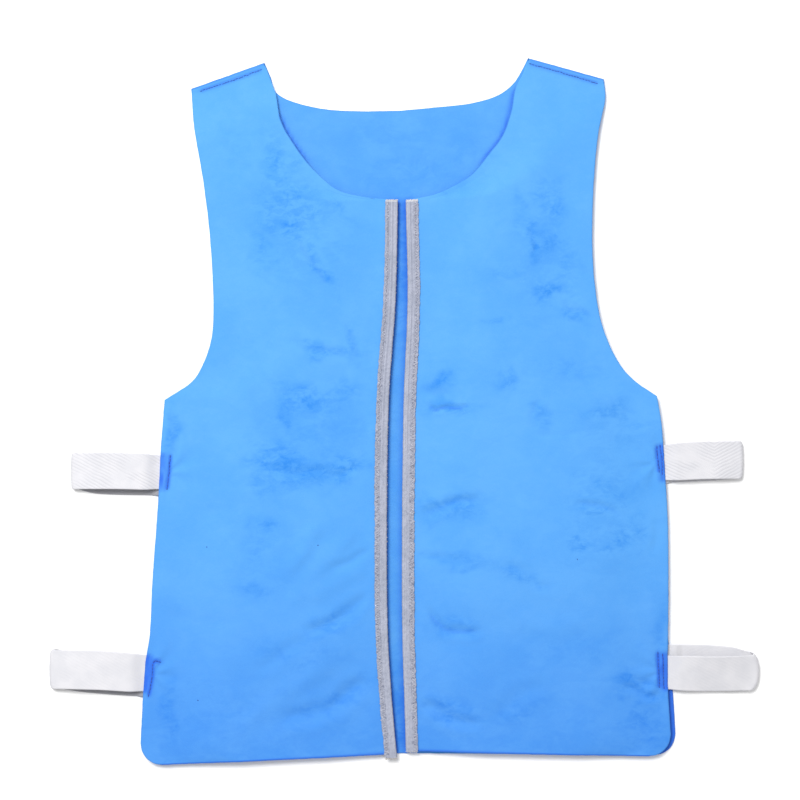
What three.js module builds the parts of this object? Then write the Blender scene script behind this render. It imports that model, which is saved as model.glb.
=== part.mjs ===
// A sleeveless cooling vest of soft chamois cloth, lying flat with its open front facing up.
// Two front panels lie over one back panel and are sewn to it at the shoulders. Grey tape binds the
// two centre front edges. Four elastic straps, each a folded loop, join front and back at the sides.
//
// Millimetres. +Z points up from the table, +Y to the neck, and +X to the right of someone who looks
// down on the vest. The origin is on the underside of the back panel, at the level of the armpits.
import * as THREE from "three";

// Cut of the panels
const SIDE_LENGTH = 336; // hem to armpit
const ARMHOLE_DEPTH = 287; // armpit to the outer end of the shoulder seam
const SHOULDER_SLOPE = 24; // the seam's neck end is this much higher than its outer end
const HALF_WIDTH = 250; // middle of the back to the side edge
const NECK_DEPTH = 127; // front neckline, below the neck end of the seam
const BACK_NECK_DEPTH = 44; // back neckline, below the neck end of the seam
const NECK_HALF_WIDTH = 125; // middle of the back to the neck end of the seam
const FRONT_HEM_LIFT = 10; // the hem is this much higher at the centre front than at the side
const HEM_CORNER = 20; // radius between hem and side edge
const BACK_TUCK = 2; // the back panel's edge hides this far inside the front panel's
const BACK_SHOW = 5; // at the right hem it shows this far outside instead

// Cloth, tape and straps
const CLOTH = 1.8;
const TAPE_WIDTH = 11.2;
const TAPE_THICKNESS = 0.8;
const TAPE_TAIL = 3; // what a tape may run past the hem
const CENTRE_GAP = 13.5; // widest distance between the two bound edges
const STRAP_WIDTH = 35;
const STRAP_THICKNESS = 1.2;
const STRAP_REACH = 83; // side edge to the folded end of the loop
const STRAP_SEWN = 16; // each end of a strap that is sewn between the panels
const STRAP_SLACK = 1; // between the two sewn ends
const LOOP_GAP = 5.2; // between the loop's layers
const LOOP_RAMP = 12; // where a strap rises from its sewn end to the loop's height
const BACK_RAMP = 8; // where a strap drops from the back panel to the table
const BACK_CLEARANCE = 1.5; // from the back panel's edge to the top of that drop
const SEAT = 0.3; // clearance between layers that lie on each other

// How the front panels stand over the back panel
const BODY_RISE = 7.4;
const CENTRE_SLACK = 3.2; // under the left bound edge
const STRAP_MARGIN = 3; // flat cloth past a strap's sewn end
const TAPE_MARGIN = 2; // flat cloth past a tape
const EDGE_BLEND = 60; // from an edge's height to the body's
const SEAM_BLEND = 55; // from the shoulder seam to full height
const FOLD_FADE = 25; // folds die out this far from an edge's flat margin

// Steps of the flat nets that the cloth is made from
const FRONT_COLUMNS = 15;
const BACK_COLUMNS = 5;
const COLUMN_CROWDING = 0.45; // 0 spaces the columns evenly, 1 crowds them to the edges
const CORNER_STEPS = 4;

// Steps of a strap's run and of the search along a side edge
const TURN_STEPS = 8;
const RAMP_STEPS = 4;
const SPAN_STEPS = 3;
const TRACE_STEPS = 200;

const NECK_TOP = ARMHOLE_DEPTH + SHOULDER_SLOPE;
const NECK_BASE = NECK_TOP - NECK_DEPTH;
const BACK_NECK_BASE = NECK_TOP - BACK_NECK_DEPTH;
const FRONT_HEM = FRONT_HEM_LIFT - SIDE_LENGTH;
const SIDE_MARGIN = STRAP_SEWN + STRAP_MARGIN;
const CENTRE_MARGIN = TAPE_WIDTH + TAPE_MARGIN;
const TAPE_SHELL = TAPE_THICKNESS + SEAT; // from the tape's outside to the cloth inside it
const SIDE_RISE = 2 * STRAP_THICKNESS + 3 * SEAT + STRAP_SLACK;
const LOOP_HEIGHT = 2 * STRAP_THICKNESS + LOOP_GAP;

// side: out is a share of HALF_WIDTH, up of SIDE_LENGTH from the hem.
// armhole: out is a share of HALF_WIDTH, up of ARMHOLE_DEPTH from the armpit.
// neck: out is a share of NECK_HALF_WIDTH, up of NECK_DEPTH from the neckline's lowest point.
// centre: out is where the tape's edge runs, a share of CENTRE_GAP from the middle of the back, and
// up is a share of the way from the hem to the neckline.
// back_neck: out is a share of NECK_HALF_WIDTH, up of BACK_NECK_DEPTH.
// hem and corner place the rounded corner as the side's up and out. back_out is how far the back
// panel shows past the front panel's side at the hem. lift is the slack under the bound edge, a
// share of CENTRE_SLACK, and tail is the share of TAPE_TAIL that the tape has.
const LEFT = {
  sign: -1,
  hem: 0,
  corner: 0.955,
  back_out: -BACK_TUCK,
  lift: 1,
  tail: 1,
  side: [
    { out: 0.945, up: 0.206 },
    { out: 0.936, up: 0.29 },
    { out: 0.922, up: 0.35 },
    { out: 0.912, up: 0.5 },
    { out: 0.89, up: 0.726 },
    { out: 0.881, up: 0.86 },
    { out: 0.867, up: 1 },
  ],
  armhole: [
    { out: 0.867, up: 0 },
    { out: 0.765, up: 0.06 },
    { out: 0.728, up: 0.109 },
    { out: 0.696, up: 0.189 },
    { out: 0.687, up: 0.27 },
    { out: 0.699, up: 0.513 },
    { out: 0.725, up: 0.705 },
    { out: 0.76, up: 0.885 },
    { out: 0.77, up: 1 },
  ],
  neck: [
    { out: 0.285, up: 0.027 },
    { out: 0.454, up: 0.071 },
    { out: 0.596, up: 0.182 },
    { out: 0.752, up: 0.367 },
    { out: 0.876, up: 0.577 },
    { out: 0.915, up: 0.772 },
    { out: 0.963, up: 0.9 },
    { out: 1, up: 1 },
  ],
  centre: [
    { out: 0.22, up: 0 },
    { out: 0.55, up: 0.1 },
    { out: 0.8, up: 0.206 },
    { out: 0.89, up: 0.35 },
    { out: 0.75, up: 0.64 },
    { out: 0.29, up: 0.82 },
    { out: 0.14, up: 1 },
  ],
  back_neck: [
    { out: 0.3, up: -0.01 },
    { out: 0.57, up: 0.04 },
    { out: 0.83, up: 0.23 },
    { out: 0.92, up: 0.4 },
    { out: 0.955, up: 0.7 },
    { out: 1, up: 1 },
  ],
};

const RIGHT = {
  sign: 1,
  hem: 0.024,
  corner: 0.997,
  back_out: BACK_SHOW,
  lift: 0.5625,
  tail: 0,
  side: [
    { out: 0.987, up: 0.21 },
    { out: 0.988, up: 0.452 },
    { out: 0.986, up: 0.671 },
    { out: 0.976, up: 0.8 },
    { out: 0.963, up: 0.933 },
    { out: 0.946, up: 1.011 },
  ],
  armhole: [
    { out: 0.946, up: 0.013 },
    { out: 0.861, up: 0.064 },
    { out: 0.81, up: 0.114 },
    { out: 0.747, up: 0.232 },
    { out: 0.719, up: 0.359 },
    { out: 0.708, up: 0.513 },
    { out: 0.714, up: 0.705 },
    { out: 0.731, up: 0.859 },
    { out: 0.757, up: 0.97 },
    { out: 0.752, up: 1.031 },
  ],
  neck: [
    { out: 0.278, up: 0.05 },
    { out: 0.504, up: 0.171 },
    { out: 0.662, up: 0.348 },
    { out: 0.753, up: 0.471 },
    { out: 0.814, up: 0.638 },
    { out: 0.851, up: 0.826 },
    { out: 0.899, up: 0.904 },
    { out: 0.944, up: 1.034 },
  ],
  centre: [
    { out: 0.4, up: 0.005 },
    { out: 0.29, up: 0.1 },
    { out: 0.16, up: 0.206 },
    { out: 0.13, up: 0.4 },
    { out: 0.25, up: 0.64 },
    { out: 0.51, up: 0.82 },
    { out: 0.39, up: 1 },
  ],
  back_neck: [
    { out: 0.22, up: 0.06 },
    { out: 0.55, up: 0.17 },
    { out: 0.74, up: 0.35 },
    { out: 0.84, up: 0.58 },
    { out: 0.89, up: 0.8 },
    { out: 0.944, up: 1.1 },
  ],
};

// How the rows of a panel's net pair its outer edge with its inner edge, from the hem to the
// shoulder. Each band runs between two shares of either edge's length.
const FRONT_BANDS = [
  { rows: 4, outer: "corner", outer_span: [0, 1], inner: "centre", inner_span: [0, 0.05] },
  { rows: 12, outer: "side", outer_span: [0, 1], inner: "centre", inner_span: [0.05, 0.66] },
  { rows: 9, outer: "armhole", outer_span: [0, 0.66], inner: "centre", inner_span: [0.66, 1] },
  { rows: 9, outer: "armhole", outer_span: [0.66, 1], inner: "neck", inner_span: [0, 1] },
];
const BACK_BANDS = [
  { rows: 4, outer: "corner", outer_span: [0, 1], inner: "middle", inner_span: [0, 0.04] },
  { rows: 12, outer: "side", outer_span: [0, 1], inner: "middle", inner_span: [0.04, 0.56] },
  { rows: 9, outer: "armhole", outer_span: [0, 0.9], inner: "middle", inner_span: [0.56, 1] },
  { rows: 8, outer: "armhole", outer_span: [0.9, 1], inner: "neck", inner_span: [0, 1] },
];

// Soft folds of the front panels. x is a share of HALF_WIDTH and y of SIDE_LENGTH, long and wide are
// shares of HALF_WIDTH, high is in thicknesses of the cloth, and turn is the fold's direction.
const FOLDS = [
  { x: -0.22, y: -0.59, long: 0.15, wide: 0.06, high: -0.6, turn: 30 },
  { x: -0.27, y: -0.69, long: 0.18, wide: 0.07, high: 0.5, turn: 30 },
  { x: -0.32, y: -0.83, long: 0.2, wide: 0.07, high: -0.7, turn: 22 },
  { x: -0.45, y: -0.48, long: 0.18, wide: 0.07, high: 0.4, turn: 62 },
  { x: -0.62, y: -0.93, long: 0.25, wide: 0.08, high: 0.5, turn: 8 },
  { x: -0.4, y: 0.42, long: 0.16, wide: 0.07, high: -0.4, turn: -58 },
  { x: 0.24, y: -0.63, long: 0.14, wide: 0.06, high: -0.6, turn: -6 },
  { x: 0.26, y: -0.87, long: 0.2, wide: 0.07, high: -0.6, turn: -20 },
  { x: 0.26, y: -0.29, long: 0.14, wide: 0.06, high: -0.5, turn: 14 },
  { x: 0.72, y: -0.32, long: 0.16, wide: 0.07, high: -0.4, turn: -20 },
  { x: 0.6, y: -0.92, long: 0.3, wide: 0.08, high: 0.5, turn: -6 },
];

// level is how far the strap lies below the armpit, a share of SIDE_LENGTH. reach and wide are shares
// of STRAP_REACH and STRAP_WIDTH. tilt is how far the folded end lies towards the neck, and slip how
// far the back layer's sewn end does, both shares of STRAP_WIDTH.
const STRAPS = [
  { name: "strap_upper_left", panel: LEFT, level: 0.198, reach: 0.99, wide: 0.95, tilt: 0.03, slip: -0.14 },
  { name: "strap_lower_left", panel: LEFT, level: 0.749, reach: 1.06, wide: 1.02, tilt: 0.1, slip: -0.12 },
  { name: "strap_upper_right", panel: RIGHT, level: 0.172, reach: 0.88, wide: 0.99, tilt: 0.07, slip: -0.04 },
  { name: "strap_lower_right", panel: RIGHT, level: 0.743, reach: 1.02, wide: 1.02, tilt: 0, slip: 0.18 },
];

const LOOKS = {
  cloth: { color: 0x69bafc, roughness: 0.9, metalness: 0 },
  tape: { color: 0xb2b4c8, roughness: 0.85, metalness: 0 },
  strap: { color: 0xefeef3, roughness: 0.8, metalness: 0 },
};

const mix = THREE.MathUtils.lerp;
const ease = (t) => THREE.MathUtils.smoothstep(t, 0, 1);
const point = (x, y, z = 0) => new THREE.Vector3(x, y, z);
const through = (points) => new THREE.CatmullRomCurve3(points, false, "centripetal");
const steps = (count) => Array.from({ length: count + 1 }, (_, i) => i / count);

// A closed body, turned so that its faces point out.
function body(name, points, triangles, look) {
  let volume = 0;
  for (const [a, b, c] of triangles) {
    volume += points[a].dot(point(0, 0).crossVectors(points[b], points[c])) / 6;
  }
  const faces = volume < 0 ? triangles.map(([a, b, c]) => [a, c, b]) : triangles;
  const shape = new THREE.BufferGeometry().setFromPoints(points);
  shape.setIndex(faces.flat());
  shape.computeVertexNormals();
  const mesh = new THREE.Mesh(shape, new THREE.MeshStandardMaterial(look));
  mesh.name = name;
  return mesh;
}

// A body swept through rings of points. The section holds the same points, flat, for the end caps.
function sweep(name, rings, section, look) {
  const count = section.length;
  const last = (rings.length - 1) * count;
  const triangles = [];
  for (let start = 0; start < last; start += count) {
    for (let j = 0; j < count; j++) {
      const a = start + j;
      const b = start + ((j + 1) % count);
      triangles.push([a, b, b + count], [a, b + count, a + count]);
    }
  }
  const turned = THREE.ShapeUtils.isClockWise(section);
  for (const [a, b, c] of THREE.ShapeUtils.triangulateShape(section, [])) {
    const [p, q] = turned ? [b, c] : [c, b];
    triangles.push([a, p, q], [last + a, last + q, last + p]);
  }
  return body(name, rings.flat(), triangles, look);
}

// A net of triangles at the cloth's underside, whose patches share the points where they meet.
class Net {
  points = [];
  triangles = [];
  #numbers = new Map();

  numberOf(p) {
    const place = `${p.x.toFixed(2)} ${p.y.toFixed(2)}`;
    if (!this.#numbers.has(place)) {
      this.#numbers.set(place, this.points.length);
      this.points.push(p);
    }
    return this.#numbers.get(place);
  }

  addPatch(rows, sign) {
    const numbers = rows.map((row) => row.map((p) => this.numberOf(p)));
    for (let i = 0; i + 1 < rows.length; i++) {
      for (let j = 0; j + 1 < rows[i].length; j++) {
        const [a, b] = [numbers[i][j], numbers[i][j + 1]];
        const [c, d] = [numbers[i + 1][j + 1], numbers[i + 1][j]];
        const cells = [[a, b, c], [a, c, d]];
        this.triangles.push(...(sign < 0 ? cells : cells.map(([p, q, r]) => [p, r, q])));
      }
    }
  }

  // The cloth between this net and the same net raised by its thickness, closed along each edge
  // that only one triangle has.
  wall(name) {
    const count = this.points.length;
    const edges = this.triangles.flatMap(([a, b, c]) => [[a, b], [b, c], [c, a]]);
    const known = new Set(edges.map(([a, b]) => `${a} ${b}`));
    const rim = edges.filter(([a, b]) => !known.has(`${b} ${a}`));
    const raised = this.points.map((p) => point(p.x, p.y, p.z + CLOTH));
    const triangles = [
      ...this.triangles.map((corners) => corners.map((corner) => corner + count)),
      ...this.triangles.map(([a, b, c]) => [a, c, b]),
      ...rim.flatMap(([a, b]) => [[a, b, b + count], [a, b + count, a + count]]),
    ];
    return body(name, [...this.points, ...raised], triangles, LOOKS.cloth);
  }
}

const sidePoint = (panel, { out, up }) => point(panel.sign * out * HALF_WIDTH, (up - 1) * SIDE_LENGTH);

// The rounded corner between the hem and the side edge.
function hemCorner(panel) {
  const tip = sidePoint(panel, { out: panel.corner, up: panel.hem });
  return steps(CORNER_STEPS).map((t) => {
    const turn = (t * Math.PI) / 2;
    return point(
      tip.x - panel.sign * HEM_CORNER * (1 - Math.sin(turn)),
      tip.y + HEM_CORNER * (1 - Math.cos(turn)),
    );
  });
}

// The edges of a front panel, each from its lower end to its upper end.
function frontEdges(panel) {
  const corner = hemCorner(panel);
  const side = panel.side.map((key) => sidePoint(panel, key));
  const armhole = panel.armhole.map(({ out, up }) =>
    point(panel.sign * out * HALF_WIDTH, up * ARMHOLE_DEPTH));
  const centre = panel.centre.map(({ out, up }) =>
    point(panel.sign * (out * CENTRE_GAP + TAPE_SHELL), mix(FRONT_HEM, NECK_BASE, up)));
  const neck = panel.neck.map(({ out, up }) =>
    point(panel.sign * out * NECK_HALF_WIDTH, NECK_BASE + up * NECK_DEPTH));
  return {
    corner: through(corner),
    side: through([corner.at(-1), ...side]),
    armhole: through(armhole),
    centre: through(centre),
    neck: through([centre.at(-1), ...neck]),
  };
}

// The edges of one half of the back panel. They follow the front panel's, a little inside it or, at
// the hem, as far out as the panel's table says.
function backEdges(panel) {
  const front = frontEdges(panel);
  const shifted = (p, out) => point(p.x + panel.sign * out, p.y);
  const strapLevel = STRAPS.findLast((strap) => strap.panel === panel).level;
  const shownOrTucked = (p) => {
    const above = (p.y + strapLevel * SIDE_LENGTH + STRAP_WIDTH / 2) / STRAP_WIDTH;
    return shifted(p, mix(panel.back_out, -BACK_TUCK, ease(above)));
  };
  const untucked = (i, all) => i / (all.length - 1);
  const armhole = front.armhole.points.map((p, i, all) => shifted(p, -BACK_TUCK * (1 - untucked(i, all))));
  const neck = panel.back_neck.map(({ out, up }) =>
    point(panel.sign * out * NECK_HALF_WIDTH, BACK_NECK_BASE + up * BACK_NECK_DEPTH));
  const neckMiddle = point(0, BACK_NECK_BASE);
  return {
    corner: through(front.corner.points.map(shownOrTucked)),
    side: through(front.side.points.map(shownOrTucked)),
    armhole: through(armhole),
    middle: through([point(0, FRONT_HEM), neckMiddle]),
    neck: through([neckMiddle, ...neck]),
  };
}

// Pairs of an outer and an inner point, from the hem to the shoulder.
function pairsOf(edges, bands) {
  return bands.flatMap((band, i) => {
    const shares = steps(band.rows).slice(i === 0 ? 0 : 1);
    return shares.map((t) => ({
      outer: edges[band.outer].getPointAt(mix(...band.outer_span, t)),
      inner: edges[band.inner].getPointAt(mix(...band.inner_span, t)),
    }));
  });
}

function rowsOf(pairs, columns) {
  const shares = steps(columns).map((t) => mix(t, 0.5 - 0.5 * Math.cos(Math.PI * t), COLUMN_CROWDING));
  return pairs.map(({ outer, inner }) => shares.map((share) => outer.clone().lerp(inner, share)));
}

function foldHeight(p) {
  return FOLDS.reduce((sum, fold) => {
    const turn = THREE.MathUtils.degToRad(fold.turn);
    const away = point(p.x - fold.x * HALF_WIDTH, p.y - fold.y * SIDE_LENGTH);
    const along = (away.x * Math.cos(turn) + away.y * Math.sin(turn)) / (fold.long * HALF_WIDTH);
    const across = (away.y * Math.cos(turn) - away.x * Math.sin(turn)) / (fold.wide * HALF_WIDTH);
    return sum + fold.high * CLOTH * Math.exp(-along * along - across * across);
  }, 0);
}

const centreRise = (panel) => TAPE_THICKNESS + 2 * SEAT + panel.lift * CENTRE_SLACK;

// The underside of a front panel at a point, from its distances to the side, the centre and the seam.
function frontUnderside(panel, p, toSide, toCentre, toSeam) {
  const pastSide = toSide - SIDE_MARGIN;
  const pastCentre = toCentre - CENTRE_MARGIN;
  const sideDrop = (BODY_RISE - SIDE_RISE) * (1 - ease(pastSide / EDGE_BLEND));
  const centreDrop = (BODY_RISE - centreRise(panel)) * (1 - ease(pastCentre / EDGE_BLEND));
  const folds = foldHeight(p) * ease(pastSide / FOLD_FADE) * ease(pastCentre / FOLD_FADE);
  return CLOTH + SEAT + (BODY_RISE + folds - sideDrop - centreDrop) * ease(toSeam / SEAM_BLEND);
}

function frontPanel(name, panel) {
  const rows = rowsOf(pairsOf(frontEdges(panel), FRONT_BANDS), FRONT_COLUMNS);
  const seam = rows.at(-1);
  for (const row of rows) {
    row.forEach((p, j) => {
      const toSide = Math.hypot(p.x - row[0].x, p.y - row[0].y);
      const toCentre = Math.hypot(p.x - row.at(-1).x, p.y - row.at(-1).y);
      const toSeam = Math.hypot(p.x - seam[j].x, p.y - seam[j].y);
      p.z = frontUnderside(panel, p, toSide, toCentre, toSeam);
    });
  }
  const net = new Net();
  net.addPatch(rows, panel.sign);
  return net.wall(name);
}

function backPanel() {
  const net = new Net();
  for (const panel of [LEFT, RIGHT]) {
    net.addPatch(rowsOf(pairsOf(backEdges(panel), BACK_BANDS), BACK_COLUMNS), panel.sign);
  }
  return net.wall("back_panel");
}

// The tape wraps the bound edge: one leg on the cloth, one under it, open towards the side.
function frontBinding(name, panel) {
  const inward = TAPE_WIDTH - TAPE_SHELL;
  const top = CLOTH + SEAT;
  const section = [
    [inward, -TAPE_SHELL],
    [-TAPE_SHELL, -TAPE_SHELL],
    [-TAPE_SHELL, CLOTH + TAPE_SHELL],
    [inward, CLOTH + TAPE_SHELL],
    [inward, top],
    [-SEAT, top],
    [-SEAT, -SEAT],
    [inward, -SEAT],
  ].map(([across, height]) => new THREE.Vector2(across, height));
  const boundPairs = pairsOf(frontEdges(panel), FRONT_BANDS.filter((band) => band.inner === "centre"));
  const [first, second] = boundPairs.map(({ inner }) => inner);
  const tail = first.clone().sub(second).setLength(panel.tail * TAPE_TAIL);
  if (panel.tail > 0) {
    boundPairs.unshift({ outer: boundPairs[0].outer.clone().add(tail), inner: first.clone().add(tail) });
  }
  const underside = CLOTH + SEAT + centreRise(panel);
  const rings = boundPairs.map(({ outer, inner }) => {
    const direction = outer.clone().sub(inner).normalize();
    return section.map(({ x, y }) => inner.clone().addScaledVector(direction, x).setZ(underside + y));
  });
  return sweep(name, rings, section, LOOKS.tape);
}

// How far out a side edge is at one height.
function outAt(curve, y) {
  const trace = curve.getSpacedPoints(TRACE_STEPS);
  const next = Math.max(1, trace.findIndex((p) => p.y >= y));
  const [low, high] = [trace[next - 1], trace[next]];
  return Math.abs(mix(low.x, high.x, (y - low.y) / (high.y - low.y)));
}

// A strap runs out from under the front panel, turns back at its folded end, comes down to the table
// and then up onto the back panel. out is measured from the front panel's side edge.
function strap({ name, panel, level, reach, wide, tilt, slip }) {
  const middle = -level * SIDE_LENGTH;
  const halfWidth = (wide * STRAP_WIDTH) / 2;
  const edge = outAt(frontEdges(panel).side, middle);
  const backSide = backEdges(panel).side;
  const backOuts = [-halfWidth, 0, halfWidth].map((away) => outAt(backSide, middle + away) - edge);
  const turnRadius = (LOOP_HEIGHT - STRAP_THICKNESS) / 2;
  const turnOut = reach * STRAP_REACH - LOOP_HEIGHT / 2;
  const heights = {
    sewnFront: CLOTH + SIDE_RISE - STRAP_THICKNESS / 2,
    front: LOOP_HEIGHT - STRAP_THICKNESS / 2,
    back: STRAP_THICKNESS / 2,
    sewnBack: CLOTH + SEAT + STRAP_THICKNESS / 2,
  };
  const ramp = (from, to, low, high, layer) =>
    steps(RAMP_STEPS).map((t) => ({ out: mix(from, to, t), height: mix(low, high, ease(t)), layer }));
  const span = (from, to, height, layer) =>
    steps(SPAN_STEPS).slice(1, -1).map((t) => ({ out: mix(from, to, t), height, layer }));
  const onBack = Math.max(...backOuts, 0) + BACK_CLEARANCE;
  const offBack = onBack + BACK_RAMP;
  const stations = [
    { out: -STRAP_SEWN, height: heights.sewnFront, layer: 0 },
    ...ramp(0, LOOP_RAMP, heights.sewnFront, heights.front, 0),
    ...span(LOOP_RAMP, turnOut, heights.front, 0),
    ...steps(TURN_STEPS).map((t) => ({
      out: turnOut + turnRadius * Math.sin(t * Math.PI),
      height: LOOP_HEIGHT / 2 + turnRadius * Math.cos(t * Math.PI),
      layer: 0,
    })),
    ...span(turnOut, offBack, heights.back, 1),
    ...ramp(offBack, onBack, heights.back, heights.sewnBack, 1),
    { out: -STRAP_SEWN, height: heights.sewnBack, layer: 1 },
  ];
  const section = [
    [-halfWidth, -STRAP_THICKNESS / 2],
    [halfWidth, -STRAP_THICKNESS / 2],
    [halfWidth, STRAP_THICKNESS / 2],
    [-halfWidth, STRAP_THICKNESS / 2],
  ].map(([along, above]) => new THREE.Vector2(along, above));
  const rings = stations.map(({ out, height, layer }, i) => {
    const [before, after] = [stations[Math.max(i - 1, 0)], stations[Math.min(i + 1, stations.length - 1)]];
    const run = new THREE.Vector2(after.out - before.out, after.height - before.height).normalize();
    const share = out / turnOut;
    const y = middle + STRAP_WIDTH * (tilt * share + layer * slip * (1 - share));
    return section.map(({ x, y: above }) =>
      point(panel.sign * (edge + out - run.y * above), y + x, height + run.x * above));
  });
  return sweep(name, rings, section, LOOKS.strap);
}

const vest = new THREE.Group();
vest.add(
  backPanel(),
  frontPanel("front_panel_left", LEFT),
  frontPanel("front_panel_right", RIGHT),
  frontBinding("front_binding_left", LEFT),
  frontBinding("front_binding_right", RIGHT),
  ...STRAPS.map(strap),
);

export default vest;
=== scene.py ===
"""A cooling vest of soft chamois cloth, lying open side up: its cloth, tapes, elastic loops and stitches.

Lengths in the tables and functions are millimetres; meshes are made in metres, in the frame of the
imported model. +Z is up, +Y points to the neck, and +X is on the right of someone who looks down.
"""

import math

import bpy
import numpy as np
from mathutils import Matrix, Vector
from mathutils.bvhtree import BVHTree
from mathutils.kdtree import KDTree


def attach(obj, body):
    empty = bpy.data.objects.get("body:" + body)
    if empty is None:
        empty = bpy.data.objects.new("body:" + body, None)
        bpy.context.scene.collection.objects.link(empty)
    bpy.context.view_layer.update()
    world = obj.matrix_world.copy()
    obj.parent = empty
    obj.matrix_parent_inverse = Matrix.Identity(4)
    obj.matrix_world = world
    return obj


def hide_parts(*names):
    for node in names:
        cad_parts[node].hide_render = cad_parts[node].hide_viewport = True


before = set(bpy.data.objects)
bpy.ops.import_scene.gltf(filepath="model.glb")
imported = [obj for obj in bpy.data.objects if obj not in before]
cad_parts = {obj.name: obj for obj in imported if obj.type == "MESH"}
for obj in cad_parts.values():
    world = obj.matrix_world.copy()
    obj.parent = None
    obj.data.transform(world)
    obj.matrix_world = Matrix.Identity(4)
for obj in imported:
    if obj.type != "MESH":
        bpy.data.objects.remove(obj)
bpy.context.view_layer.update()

MM = 0.001

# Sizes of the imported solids
SIDE_LENGTH = 336
ARMHOLE_DEPTH = 287
SHOULDER_SLOPE = 24
HALF_WIDTH = 250
NECK_DEPTH = 127
BACK_NECK_DEPTH = 44
NECK_HALF_WIDTH = 125
FRONT_HEM_LIFT = 10
HEM_CORNER = 20
BACK_TUCK = 2
BACK_SHOW = 5
CLOTH = 1.8
TAPE_WIDTH = 11.2
TAPE_THICKNESS = 0.8
TAPE_TAIL = 3
CENTRE_GAP = 13.5
STRAP_WIDTH = 35
STRAP_THICKNESS = 1.2
STRAP_REACH = 83
STRAP_SEWN = 16
STRAP_SLACK = 1
LOOP_GAP = 5.2
LOOP_RAMP = 12
BACK_RAMP = 8
BACK_CLEARANCE = 1.5
SEAT = 0.3
BODY_RISE = 7.4
CENTRE_SLACK = 3.2
STRAP_MARGIN = 3
TAPE_MARGIN = 2
EDGE_BLEND = 60
SEAM_BLEND = 55
FOLD_FADE = 25

# What only this script shows: ribs and grooves, threads and fibres
TAPE_RIB = 0.14
RIB_WIDTH = 3.1
TAPE_LINES = (3.2, 7.4)
TWILL_WIDTH = 3.1
CUT_WAVER = 0.14
SEAM_THREAD, TACK_THREAD, TAPE_THREAD = 0.33, 0.42, 0.38
FRAY_THREAD, FIBRE_THREAD, LINT_THREAD = 0.18, 0.14, 0.34
TAPE_STITCH = 1.55
FRAYS, FIBRES = 44, 150
FRONT_COLUMNS, BACK_COLUMNS = 104, 78
SEED = 7
NOISE_CELLS = 97
# How far the lower layer of a loop is darkened by the one above it
BACK_LAYER_SHADE = {"upper_left": 0.7, "lower_left": 0.7, "upper_right": 0.12}
# Floor, light and camera, in metres and watts
FLOOR_HALF, FLOOR_LEVEL = 6.0, -0.0002
LIGHT_PLACE, LIGHT_SIZE, LIGHT_POWER, SKY = (-0.85, 1.3, 2.85), 1.3, 99, 0.6
VIEW_WIDTH, EYE_HEIGHT, CLOTH_LEVEL = 0.736, 2.0, 0.008

NECK_TOP = ARMHOLE_DEPTH + SHOULDER_SLOPE
NECK_BASE = NECK_TOP - NECK_DEPTH
BACK_NECK_BASE = NECK_TOP - BACK_NECK_DEPTH
FRONT_HEM = FRONT_HEM_LIFT - SIDE_LENGTH
SIDE_MARGIN = STRAP_SEWN + STRAP_MARGIN
CENTRE_MARGIN = TAPE_WIDTH + TAPE_MARGIN
TAPE_SHELL = TAPE_THICKNESS + SEAT
SIDE_RISE = 2 * STRAP_THICKNESS + 3 * SEAT + STRAP_SLACK
LOOP_HEIGHT = 2 * STRAP_THICKNESS + LOOP_GAP
RIM_ROOM, RIM_REACH = 0.65 * CLOTH, 2.5 * CLOTH

# Each key is (out, up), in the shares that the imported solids' own tables use.
LEFT = {
    "sign": -1, "hem": 0, "corner": 0.955, "back_out": -BACK_TUCK, "lift": 1, "tail": 1,
    "side": [(0.945, 0.206), (0.936, 0.29), (0.922, 0.35), (0.912, 0.5), (0.89, 0.726),
             (0.881, 0.86), (0.867, 1)],
    "armhole": [(0.867, 0), (0.765, 0.06), (0.728, 0.109), (0.696, 0.189), (0.687, 0.27),
                (0.699, 0.513), (0.725, 0.705), (0.76, 0.885), (0.77, 1)],
    "neck": [(0.285, 0.027), (0.454, 0.071), (0.596, 0.182), (0.752, 0.367), (0.876, 0.577),
             (0.915, 0.772), (0.963, 0.9), (1, 1)],
    "centre": [(0.22, 0), (0.55, 0.1), (0.8, 0.206), (0.89, 0.35), (0.75, 0.64), (0.29, 0.82),
               (0.14, 1)],
    "back_neck": [(0.3, -0.01), (0.57, 0.04), (0.83, 0.23), (0.92, 0.4), (0.955, 0.7), (1, 1)],
}
RIGHT = {
    "sign": 1, "hem": 0.024, "corner": 0.997, "back_out": BACK_SHOW, "lift": 0.5625, "tail": 0,
    "side": [(0.987, 0.21), (0.988, 0.452), (0.986, 0.671), (0.976, 0.8), (0.963, 0.933),
             (0.946, 1.011)],
    "armhole": [(0.946, 0.013), (0.861, 0.064), (0.81, 0.114), (0.747, 0.232), (0.719, 0.359),
                (0.708, 0.513), (0.714, 0.705), (0.731, 0.859), (0.757, 0.97), (0.752, 1.031)],
    "neck": [(0.278, 0.05), (0.504, 0.171), (0.662, 0.348), (0.753, 0.471), (0.814, 0.638),
             (0.851, 0.826), (0.899, 0.904), (0.944, 1.034)],
    "centre": [(0.4, 0.005), (0.29, 0.1), (0.16, 0.206), (0.13, 0.4), (0.25, 0.64), (0.51, 0.82),
               (0.39, 1)],
    "back_neck": [(0.22, 0.06), (0.55, 0.17), (0.74, 0.35), (0.84, 0.58), (0.89, 0.8),
                  (0.944, 1.1)],
}
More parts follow.
